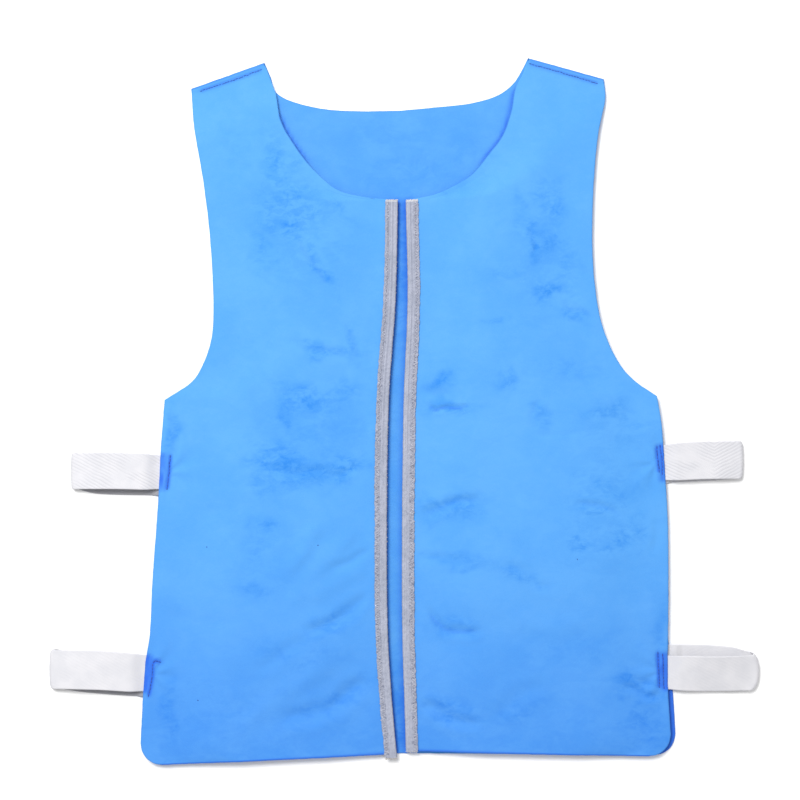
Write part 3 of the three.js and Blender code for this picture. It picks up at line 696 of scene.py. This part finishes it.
def binding(which, panel, pairs, material):
    """The tape folded round a centre front edge, with its ribs."""
    rows = sum(b[0] for b in FRONT_BANDS[:3]) + 1
    outer, inner = pairs[0][:rows], pairs[1][:rows]
    shares = np.linspace(0, 1, 620)
    edge, far = along(inner, shares), along(outer, shares)
    if panel["tail"]:
        step = (edge[0] - edge[1]) / np.linalg.norm(edge[0] - edge[1])
        for reach in (0.5, 1):
            edge = np.vstack([inner[0] + step * TAPE_TAIL * reach, edge])
            far = np.vstack([outer[0] + step * TAPE_TAIL * reach, far])
    across = far - edge
    across /= np.linalg.norm(across, axis=1)[:, None]
    inward, half = TAPE_WIDTH - TAPE_SHELL, CLOTH / 2
    legs = np.linspace(inward, 0.6, 24)
    turn = np.linspace(0, math.pi, 9)[1:-1]
    outer_line, sewn_line = TAPE_LINES
    groove = -2.0 * bell((legs - sewn_line) / 0.7) - 0.9 * bell((legs - outer_line) / 0.6)

    def profile(shell, rib):
        ridge = rib * (0.5 * np.cos(legs * 2 * math.pi / RIB_WIDTH) - 0.4 + groove)
        top = [(a, CLOTH + shell + r) for a, r in zip(legs, ridge)]
        fold = [(0.6 - (0.6 + shell) * math.sin(t), half + (half + shell) * math.cos(t)) for t in turn]
        under = [(a, -shell) for a in (0.6, inward / 2, inward)]
        return np.array(top + fold + under)

    outside, inside = profile(TAPE_SHELL, TAPE_RIB), profile(SEAT, 0)
    section = np.vstack([outside, inside[::-1]])
    underside = CLOTH + SEAT + centre_rise(panel)
    run = run_of(edge)
    rings, place = [], []
    for i, (p, d) in enumerate(zip(edge, across)):
        sway = 0.3 * noise(run[i], 0, 23, 51 + panel["sign"]) + 0.2 * noise(run[i], 0, 4, 53)
        ragged = 0.42 * noise(run[i], 0, 1.5, 57) + 0.2
        if panel["tail"]:
            sway -= 1.6 * ease((3.5 - run[i]) / 3.5) ** 2
        lip = 0.16 * noise(run[i], 0, 1.7, 59)
        a, z = section.T
        knots = 0.24 * noise(a * 1.3, run[i], 1.5, 55) + 0.12 * noise(a, run[i], 6, 56)
        z = z + underside + np.where(z > CLOTH + SEAT, knots, 0)
        moved = sway * ease((a - 2) / 4) + ragged * ease((a - inward + 1.6) / 1.4) - lip * ease(0.6 - a)
        z[:len(legs)] -= 0.8 * TAPE_RIB * groove * ease((run[-1] - run[i] - 150) / 150)
        rings.append(np.column_stack([p + (a + moved)[:, None] * d, z]))
        length = np.full(len(section), run[i])
        place.append(np.column_stack([a, length, run[-1] - length]))
    if panel["sign"] < 0:
        rings, place = [r[::-1] for r in rings], [r[::-1] for r in place]
    made = swept(f"tape_{which}", rings, {"run": np.vstack(place)}, material, True)
    return made, edge, across, underside + CLOTH + TAPE_SHELL


def out_at(line, y):
    """How far out a side edge is at a height."""
    order = np.argsort(line[:, 1])
    return abs(float(np.interp(y, line[order, 1], line[order, 0])))


def strap(material, name, panel, level, reach, wide, tilt, slip,
          apart, bulge, corner, twist, bow, draw, weave, turn):
    """An elastic loop: out from under the front panel, round its fold, and back onto the back panel."""
    sign, middle, half = panel["sign"], -level * SIDE_LENGTH, wide * STRAP_WIDTH / 2
    front_side, back_side = (curve(e(panel)["side"]) for e in (front_edges, back_edges))
    edge = out_at(front_side, middle)
    shown = max(out_at(back_side, middle + d) - edge for d in (-half, 0, half))
    off_back = max(shown, 0) + BACK_CLEARANCE + BACK_RAMP
    turn_radius = (LOOP_HEIGHT - STRAP_THICKNESS) / 2
    turn_out = reach * STRAP_REACH - LOOP_HEIGHT / 2
    sewn_front = CLOTH + SIDE_RISE - STRAP_THICKNESS / 2
    front, back = LOOP_HEIGHT - STRAP_THICKNESS / 2, STRAP_THICKNESS / 2
    sewn_back = CLOTH + SEAT + STRAP_THICKNESS / 2
    front_run = np.concatenate([
        np.linspace(-STRAP_SEWN, 0, 10, endpoint=False),
        np.linspace(0, turn_out, 88, endpoint=False),
    ])
    angles = np.linspace(0, math.pi, 14)
    back_run = np.concatenate([np.linspace(turn_out, 0, 70)[1:], np.linspace(0, -STRAP_SEWN, 10)[1:]])
    out = np.concatenate([front_run, turn_out + turn_radius * np.sin(angles), back_run])
    belly = (0.9 - 1.7 * min(twist, 0)) * ease(front_run / 16) * ease((1 - front_run / turn_out) / 0.3)
    height = np.concatenate([
        sewn_front + (front - sewn_front) * ease(front_run / LOOP_RAMP) + belly,
        LOOP_HEIGHT / 2 + turn_radius * np.cos(angles),
        mix(back, sewn_back, ease((off_back - back_run) / BACK_RAMP)),
    ])
    layer = [np.zeros_like(front_run), ease(angles / math.pi), np.ones_like(back_run)]
    layer = np.concatenate(layer)[:, None]
    share = (out / turn_out)[:, None]
    along_front = np.clip(share, 0, 1)
    run = np.concatenate([[0], np.cumsum(np.hypot(np.diff(out), np.diff(height)))])
    v = np.linspace(-1, 1, 49)
    v = np.sign(v) * (1 - (1 - np.abs(v)) ** 1.15)
    lengthways = STRAP_WIDTH * (tilt * share + layer * slip * (1 - along_front ** apart))
    arch = bow * np.sin(np.pi * along_front) * (1 - layer)
    w = v * half * (1 - 0.05 * bell((out[:, None] - 2) / 9) * (1 - layer))
    w = np.where(w > 0, w * (1 - draw * (1 - layer)), w)
    over = np.clip(np.abs(w) - (half - corner), 0, corner)
    round_off = corner - np.sqrt(np.maximum(corner**2 - over**2, 0))
    outs = out[:, None] - ease((share - 0.72) / 0.3) * (bulge * v**2 + 0.6 * round_off)
    ys = middle + lengthways + w + arch
    twisting = twist * np.sin(np.pi * np.clip(share * 0.9, 0, 1)) * (v + 0.4)
    ripple = 0.25 * noise(run[:, None] + 50 * level, w, 14, 61) * ease(along_front * 4)
    zs = np.maximum(height[:, None] + (twisting + ripple) * (1 - layer), STRAP_THICKNESS / 2)
    centre = np.stack([sign * (edge + outs), ys, zs], -1)
    normal = np.cross(np.gradient(centre, axis=0), np.gradient(centre, axis=1)) * sign
    normal /= np.linalg.norm(normal, axis=2)[..., None]
    rim = np.clip((np.abs(v) - 0.955) / 0.045, 0, 1)
    full = np.sqrt(1 - 0.93 * rim**2) * (1 + 0.1 * bell((np.abs(v) - 0.93) / 0.03))
    slanted = w + 0.5 * sign * np.minimum(run, 2 * turn - run)[:, None] + 0.7 * noise(run[:, None], w, 9, 63)
    strength = weave * np.clip(0.45 + 1.2 * noise(run[:, None] + 31 * level, w * 1.6, 13, 64), 0.05, 1)
    ridges = strength * np.sin(2 * math.pi * slanted / TWILL_WIDTH)
    lift = normal * (STRAP_THICKNESS / 2 * full + ridges * np.clip(full, 0, 1) - weave)[..., None]
    upper, lower = centre + lift, centre - lift
    rings = [np.vstack([a, b[::-1]]) for a, b in zip(upper, lower)]

    def both(q):
        return np.concatenate([q, q[::-1]])

    size = 2 * len(v)
    place = [np.column_stack([both(q), np.full(size, r), both(k)]) for q, r, k in zip(w, run, strength)]
    twill = [both(q) for q in slanted / TWILL_WIDTH]
    if sign > 0:
        rings, place, twill = ([r[::-1] for r in rows] for rows in (rings, place, twill))
    rings = [np.column_stack([r[:, :2], np.maximum(r[:, 2], 0.02)]) for r in rings]
    shade = np.repeat(layer[:, 0] * BACK_LAYER_SHADE.get(name, 0), size)
    marks = {"run": np.vstack(place), "twill": np.concatenate(twill), "shade": shade}
    made = swept(f"elastic_{name}", rings, marks, material, sign > 0)
    return made, float(run[-1]), wide * STRAP_WIDTH


def tubes(name, paths, radius, sides, material, shade):
    """Threads: each path is a list of points, drawn in at both ends."""
    verts, faces, marks, start = [], [], [], 0
    angles = np.arange(sides) * 2 * math.pi / sides
    for path, tone in zip(paths, shade):
        p = np.asarray(path, float)
        tangent = np.gradient(p, axis=0)
        tangent /= np.linalg.norm(tangent, axis=1)[:, None]
        side = np.cross(tangent, (0, 0, 1.0))
        side /= np.maximum(np.linalg.norm(side, axis=1), 1e-6)[:, None]
        up = np.cross(side, tangent)
        share = np.linspace(0, 1, len(p))
        thick = radius * np.clip(np.sqrt(np.clip(4 * share * (1 - share), 0, 1)) + 0.35, 0, 1)
        round_it = np.cos(angles)[:, None] * side[:, None] + np.sin(angles)[:, None] * up[:, None]
        ring = p[:, None] + thick[:, None, None] * round_it
        n = np.arange(len(p) * sides).reshape(len(p), sides) + start
        faces += faces_between(n, np.roll(n, -1, 1)).tolist()
        faces += [n[0][::-1].tolist(), n[-1].tolist()]
        verts.append(ring.reshape(-1, 3))
        marks.append(np.full(len(p) * sides, tone))
        start += len(p) * sides
    return make_object(name, np.vstack(verts), faces, {"tone": np.concatenate(marks)}, material)


def surface_of(*objects):
    """Height of the topmost of these objects at a flat point."""
    trees = [
        BVHTree.FromPolygons([v.co for v in m.vertices], [p.vertices for p in m.polygons])
        for m in (o.data for o in objects)
    ]

    def height(x, y):
        hits = [t.ray_cast(Vector((x * MM, y * MM, 0.1)), Vector((0, 0, -1)))[0] for t in trees]
        return max([h.z / MM for h in hits if h is not None], default=0)

    return height


def dashes(points, height, stitch, rng):
    """Stitches along a sewn row, each dipping into the cloth at its ends."""
    line = curve(points) if len(points) > 2 else np.array(points, float)
    total = length_of(line)
    count = max(2, round(total / stitch))
    paths = []
    for k in range(count):
        lo = (k + 0.03 + 0.05 * rng.random()) / count
        hi = (k + 0.92 + 0.05 * rng.random()) / count
        t = np.linspace(0, 1, 7)
        p = along(line, mix(lo, hi, t)) + 0.18 * rng.standard_normal(2)
        z = np.array([height(*q) for q in p]) + 0.42 * np.sin(math.pi * t) - 0.12
        paths.append(np.column_stack([p, z]))
    return paths


# Materials


class Value:
    """An output of a node, which adds and multiplies like a number by making more nodes."""

    def __init__(self, tree, socket):
        self.tree, self.socket = tree, socket

    def maths(self, operation, other=0.0, clamp=False):
        return add(self.tree, "Math", {"operation": operation, "use_clamp": clamp}, {0: self, 1: other})

    def __add__(self, other):
        return self.maths("ADD", other)

    def __mul__(self, other):
        return self.maths("MULTIPLY", other)

    def wave(self, length):
        return (self * (2 * math.pi / length)).maths("SINE")

    def spread(self, low, high, to_low=0.0, to_high=1.0):
        """A smooth step from to_low to to_high, between two levels of this value."""
        smooth = {"interpolation_type": "SMOOTHSTEP"}
        return add(self.tree, "MapRange", smooth, {0: self, 1: low, 2: high, 3: to_low, 4: to_high})


def plug(node, values):
    """Link or set a node's inputs, by their names or numbers."""
    for key, value in values.items():
        if isinstance(value, Value):
            value.tree.links.new(value.socket, node.inputs[key])
        else:
            node.inputs[key].default_value = value


def add(tree, kind, settings, values, output=0):
    """A new node with its settings and inputs, as the value of one of its outputs."""
    node = tree.nodes.new("ShaderNode" + kind)
    for key, value in settings.items():
        setattr(node, key, value)
    plug(node, values)
    return Value(tree, node.outputs[output])


def new_material(name):
    """A material, its tree, its surface shader and its object coordinates."""
    made = bpy.data.materials.new(name)
    made.use_nodes = True
    tree = made.node_tree
    tree.nodes.clear()
    shader, output = (tree.nodes.new("ShaderNode" + kind) for kind in ("BsdfPrincipled", "OutputMaterial"))
    tree.links.new(shader.outputs[0], output.inputs[0])
    return made, tree, shader, add(tree, "TexCoord", {}, {}, "Object")


def blend(share, a, b):
    return add(share.tree, "Mix", {"data_type": "RGBA"}, {0: share, 6: a, 7: b}, 2)


def mark(tree, name, output="Fac"):
    return add(tree, "Attribute", {"attribute_name": name}, {}, output)


def run_mark(tree):
    """The three numbers of the mark that tapes and straps carry along their run."""
    node = tree.nodes.new("ShaderNodeSeparateXYZ")
    plug(node, {0: mark(tree, "run", "Vector")})
    return [Value(tree, output) for output in node.outputs]


def grain(coords, scale, detail=3.0, rough=0.5, distortion=0.0):
    values = {"Vector": coords, "Scale": scale, "Detail": detail}
    values |= {"Roughness": rough, "Distortion": distortion}
    return add(coords.tree, "TexNoise", {"noise_dimensions": "3D"}, values)


def bump(height, distance, strength, under=None):
    values = {"Height": height, "Distance": distance, "Strength": strength}
    return add(height.tree, "Bump", {}, values | ({"Normal": under} if under else {}))


def rgb(r, g, b):
    return (r, g, b, 1.0)


def chamois():
    made, tree, shader, coords = new_material("chamois")
    slant = {"Vector": coords, "Rotation": (0, 0, math.radians(-35)), "Scale": (0.62, 1.0, 1.0)}
    slanted = add(tree, "Mapping", {}, slant)
    nap, press, edge = (mark(tree, name) for name in ("nap", "press", "edge"))
    broad = grain(coords, 15, 4, 0.62).spread(0.36, 0.64)
    cloud = grain(slanted, 60, 6, 0.66, 0.5).spread(0.42, 0.60)
    tufts = grain(slanted, 190, 4, 0.62, 0.7).spread(0.42, 0.62)
    fibre = grain(coords, 900, 3, 0.6)
    # the nap mark also carries painted shade towards the hem and on the back cloth
    darkness = nap * (cloud * 0.55 + tufts * 0.55 + 0.22)
    colour = blend(broad, rgb(0.080, 0.320, 0.748), rgb(0.096, 0.346, 0.765))
    colour = blend(cloud * 0.17, colour, rgb(0.066, 0.290, 0.73))
    colour = blend(darkness.maths("MULTIPLY", 0.84, clamp=True), colour, rgb(0.022, 0.212, 0.68))
    colour = blend(fibre.spread(0.3, 0.75) * 0.14, colour, rgb(0.127, 0.395, 0.76))
    # painted shade, with pressed pile, darkens the cloth towards this deep blue
    colour = blend(press * 0.85, colour, rgb(0.018, 0.105, 0.66))
    plug(shader, {
        # painted shadow along the neckline's sides and by the tacks darkens the rim, over the darker tone of
        # the cut edges
        "Base Color": blend(edge * 0.75, colour, rgb(0.026, 0.135, 0.50)),
        "Roughness": tufts.spread(0, 1, 0.92, 0.8),
        "Specular IOR Level": 0.25,
        "Sheen Weight": 0.12,
        "Sheen Roughness": 0.4,
        "Sheen Tint": rgb(0.45, 0.72, 1.0),
        "Normal": bump(tufts * (nap + 0.2), 0.00015, 0.25, bump(fibre, 0.00035, 0.55)),
    })
    return made


def knit():
    made, tree, shader, coords = new_material("knit_tape")
    across, run, from_neck = run_mark(tree)
    wales = across.wave(1.5)
    courses = (run * (2 * math.pi / 1.25) + wales * 1.5).maths("SINE")
    knitting = courses * 0.5 + wales * 0.35
    soft, knots, fuzz = grain(coords, 70), grain(coords, 420, 3, 0.6), grain(coords, 1500, 2)
    sewn = across.spread(TAPE_WIDTH - 6.6, TAPE_WIDTH - 5.2)
    colour = blend(soft.spread(0.3, 0.7), rgb(0.36, 0.39, 0.485), rgb(0.435, 0.46, 0.565))
    colour = blend(knots.spread(0.5, 0.36) * (sewn * 0.35 + 0.2), colour, rgb(0.55, 0.57, 0.66))
    colour = blend(knitting.spread(-0.2, -0.7) * 0.35, colour, rgb(0.21, 0.225, 0.31))
    # painted shade: the ground under the zigzag stitches is darker, standing in for the shade between the
    # threads
    colour = blend(sewn * 0.3, colour, rgb(0.2, 0.215, 0.29))
    for line in TAPE_LINES:
        beside = (across + -line).maths("ABSOLUTE").spread(0.9, 0.1, 0, 0.4)
        colour = blend(beside * from_neck.spread(300, 150, 0.2, 1), colour, rgb(0.17, 0.185, 0.26))
    holes = knots.spread(0.54, 0.62) * (sewn * 0.5 + 0.12) * from_neck.spread(50, 220, 0.3, 1)
    colour = blend(holes, colour, rgb(0.11, 0.125, 0.2))
    plug(shader, {
        "Base Color": blend(from_neck.spread(2.4, 0.4, 0, 0.8), colour, rgb(0.74, 0.74, 0.76)),
        "Roughness": fuzz.spread(0.2, 0.8, 0.78, 0.92),
        "Specular IOR Level": 0.3,
        "Sheen Weight": 0.1,
        "Normal": bump(fuzz + knots, 0.0004, 0.5, bump(knitting, 0.0003, 0.8)),
    })
    return made


def webbing():
    made, tree, shader, coords = new_material("elastic_webbing")
    across, run, weave = run_mark(tree)
    twill = mark(tree, "twill").wave(1)
    yarn = run.wave(0.8) * across.wave(0.9)
    lines = twill.spread(-0.3, -0.95).maths("MULTIPLY", weave * 8.0, clamp=True)
    colour = blend(grain(coords, 60).spread(0.3, 0.7), rgb(0.625, 0.625, 0.66), rgb(0.68, 0.675, 0.705))
    colour = blend(lines, colour, rgb(0.47, 0.47, 0.51))
    colour = blend(yarn.spread(-0.1, -0.9, 0, 0.12), colour, rgb(0.5, 0.5, 0.54))
    plug(shader, {
        "Base Color": blend(mark(tree, "shade"), colour, rgb(0.20, 0.20, 0.225)),
        "Roughness": yarn.spread(-1, 1, 0.85, 0.7),
        "Specular IOR Level": 0.3,
        "Sheen Weight": 0.08,
        "Normal": bump(twill * (weave * 10), 0.00015, 0.6, bump(yarn, 0.0001, 0.5)),
    })
    return made


def thread(name, dark, light):
    made, tree, shader, coords = new_material(name)
    twist = grain(coords, 2200, 2)
    tinted = blend(mark(tree, "tone"), dark, light)
    plug(shader, {
        "Base Color": blend(twist.spread(0.35, 0.65, 0, 0.35), tinted, light),
        "Roughness": 0.6,
        "Sheen Weight": 0.1,
        "Normal": bump(twist, 0.0001, 0.6),
    })
    return made


def paper_floor():
    made, tree, shader, coords = new_material("studio_floor")
    soft = blend(grain(coords, 3, 2), rgb(0.975, 0.975, 0.975), rgb(0.985, 0.985, 0.985))
    plug(shader, {"Base Color": soft, "Roughness": 0.95, "Specular IOR Level": 0.1})
    return made


CHAMOIS, KNIT, WEBBING = chamois(), knit(), webbing()
BLUE_THREAD = thread("blue_thread", rgb(0.010, 0.050, 0.27), rgb(0.024, 0.11, 0.46))
GREY_THREAD = thread("grey_thread", rgb(0.27, 0.285, 0.37), rgb(0.50, 0.515, 0.60))
WHITE_THREAD = thread("white_thread", rgb(0.42, 0.36, 0.30), rgb(0.75, 0.74, 0.74))

rng = np.random.default_rng(SEED)

# Cloth

back = back_panel(CHAMOIS)
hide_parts("back_panel")
fronts, tapes = {}, {}
for which, panel in (("left", LEFT), ("right", RIGHT)):
    front, pairs = front_panel(which, panel, CHAMOIS)
    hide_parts(f"front_panel_{which}")
    tape, edge_line, across_line, tape_top = binding(which, panel, pairs, KNIT)
    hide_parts(f"front_binding_{which}")
    fronts[which] = front
    tapes[which] = (tape, edge_line, across_line, tape_top)

loops = {}
for row in STRAPS:
    name = row[0]
    loop, run_length, width = strap(WEBBING, *row)
    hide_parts(f"strap_{name}")
    loops[name] = (loop, run_length, width)

# Stitches

for name, (cloth, points, stitch) in SEWN.items():
    height = surface_of(fronts[cloth])
    paths = dashes(points, height, stitch, rng)
    radius = SEAM_THREAD if name.startswith("shoulder") else TACK_THREAD
    tubes(f"stitches_{name}", paths, radius, 6, BLUE_THREAD, rng.random(len(paths)))

for which, (tape, edge_line, across_line, tape_top) in tapes.items():
    height = surface_of(tape, fronts[which])
    count = int(length_of(edge_line) / TAPE_STITCH)
    shares = (np.arange(count) + rng.uniform(0.15, 0.85, count)) / count
    base, across = along(edge_line, shares), along(across_line, shares)
    swing = mix(2.1, 0.9, ease((shares - 0.35) / 0.4)) if which == "left" else np.full(count, 1.7)
    offsets = TAPE_WIDTH - TAPE_SHELL - 2.2 + np.where(np.arange(count) % 2 == 0, swing, -swing)
    spots = base + across * (offsets + 0.55 * rng.standard_normal(count))[:, None]
    paths = []
    for a, b in zip(spots, spots[1:]):
        t = np.linspace(0, 1, 6)[:, None]
        p = a + (b - a) * t
        z = np.array([height(*q) for q in p]) + 0.34 * np.sin(math.pi * t[:, 0]) - 0.05
        paths.append(np.column_stack([p, z]))
    tones = rng.random(len(paths))
    tubes(f"stitches_tape_{which}", paths, TAPE_THREAD, 5, GREY_THREAD, tones)

# Frayed ends of the tapes

for which, (tape, edge_line, across_line, tape_top) in tapes.items():
    for end in (0, -1):
        base, across = edge_line[end], across_line[end]
        inward = edge_line[1] - edge_line[0] if end == 0 else edge_line[-2] - edge_line[-1]
        out = -inward / np.linalg.norm(inward)
        paths = []
        for _ in range(FRAYS):
            start = base + across * rng.uniform(-0.8, TAPE_WIDTH - 1.4)
            reach, lean = rng.uniform(0.5, 2.3 if end == 0 else 1.3), rng.normal(0, 0.6)
            t = np.linspace(0, 1, 5)[:, None]
            p = start - out * 0.4 + out * reach * t + across * lean * t**2
            z = tape_top - rng.uniform(0.2, 0.9) - 0.9 * t[:, 0] ** 2
            paths.append(np.column_stack([p, z]))
        tones = rng.random(len(paths)) * 0.6 + (0 if end == 0 and which == "left" else 0.4)
        name = f"fray_{which}_{'hem' if end == 0 else 'neck'}"
        tubes(name, paths, FRAY_THREAD, 5, WHITE_THREAD, tones)

# Loose fibres where the left tape turns over its edge

tape, edge_line, across_line, tape_top = tapes["left"]
fibres = []
for share in np.sort(rng.uniform(0.3, 0.995, FIBRES)):
    base, across = along(edge_line, [share])[0], along(across_line, [share])[0]
    lengthways, reach = rng.uniform(-0.9, 0.9), rng.uniform(0.1, 0.8)
    t = np.linspace(0, 1, 4)[:, None]
    step = np.array([-across[1], across[0]])
    p = base - across * (TAPE_SHELL + reach * t - 0.3) + step * lengthways * t
    fibres.append(np.column_stack([p, tape_top - 0.9 - 0.5 * t[:, 0] ** 2]))
tubes("fibres_left", fibres, FIBRE_THREAD, 5, WHITE_THREAD, rng.random(len(fibres)))

# Lint

lint = []
for x, y in LINT:
    z = surface_of(fronts["left" if x < 0 else "right"])(x, y)
    angle = rng.uniform(0, math.pi)
    t = np.linspace(-0.7, 0.7, 5)
    speck = [x + t * math.cos(angle), y + t * math.sin(angle), np.full(len(t), z + 0.12)]
    lint.append(np.column_stack(speck))
tubes("lint", lint, LINT_THREAD, 5, BLUE_THREAD, np.zeros(len(lint)))

# Floor, light and camera

mesh = bpy.data.meshes.new("studio_floor")
corners = [(x * FLOOR_HALF, y * FLOOR_HALF, FLOOR_LEVEL) for x, y in ((-1, -1), (1, -1), (1, 1), (-1, 1))]
mesh.from_pydata(corners, [], [(0, 1, 2, 3)])
mesh.materials.append(paper_floor())
floor = placed("studio_floor", mesh)

lamp = bpy.data.lights.new("key", "AREA")
lamp.shape, lamp.size, lamp.energy = "SQUARE", LIGHT_SIZE, LIGHT_POWER
key = placed("key", lamp)
key.location = LIGHT_PLACE
key.rotation_euler = (-Vector(LIGHT_PLACE)).to_track_quat("-Z", "Y").to_euler()
world = bpy.data.worlds.new("studio")
world.use_nodes = True
plug(world.node_tree.nodes["Background"], {"Color": rgb(1, 1, 1), "Strength": SKY})
bpy.context.scene.world = world

view = bpy.context.scene.view_settings
view.view_transform, view.look, view.exposure, view.gamma = "Standard", "None", 0, 1

camera_data = bpy.data.cameras.new("camera")
camera_data.sensor_width = 36
camera_data.lens = camera_data.sensor_width * (EYE_HEIGHT - CLOTH_LEVEL) / VIEW_WIDTH
camera = placed("camera", camera_data)
camera.location = (0, 0, EYE_HEIGHT)
bpy.context.scene.camera = camera

# Lengths of the tapes, and the widths and lengths of the loops, worked out and not used

for which, (tape, edge_line, _, _) in tapes.items():
    length_of(edge_line) * MM
for name, (loop, run_length, width) in loops.items():
    width * MM
    run_length * MM
